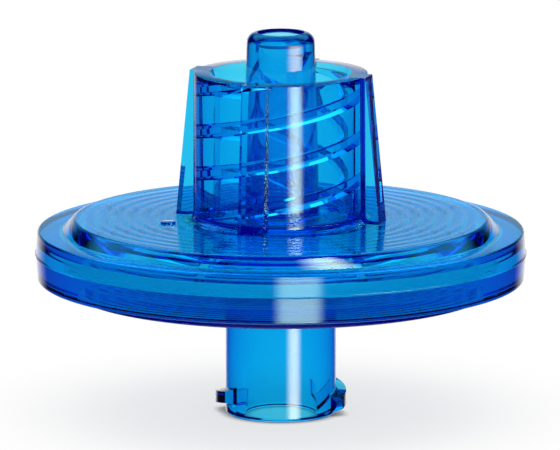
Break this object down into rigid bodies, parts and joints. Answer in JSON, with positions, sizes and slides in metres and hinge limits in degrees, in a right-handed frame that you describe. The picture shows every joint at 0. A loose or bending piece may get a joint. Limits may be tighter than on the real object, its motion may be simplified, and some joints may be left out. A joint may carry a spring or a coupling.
{
  "type": "syringe filter",
  "caption": "Disc-shaped syringe filter with a ribbed, threaded luer-lock collar round its outlet nozzle and a lugged luer socket hub at its inlet.",
  "frame": {"origin": "centre of the inlet hub's open end, on the plane of its end face", "axes": "+Z along the filter's axis from the inlet hub to the outlet nozzle, -Y towards the viewer's side, +X to the viewer's right"},
  "size_m": [0.029, 0.029, 0.0227],
  "materials": {
    "blue_clear_plastic": "transparent, glossy",
    "white_membrane": "matt"
  },
  "bodies": {
    "root": {"upper_housing": "blue_clear_plastic", "lower_housing": "blue_clear_plastic", "membrane": "white_membrane"}
  },
  "joints": []
}
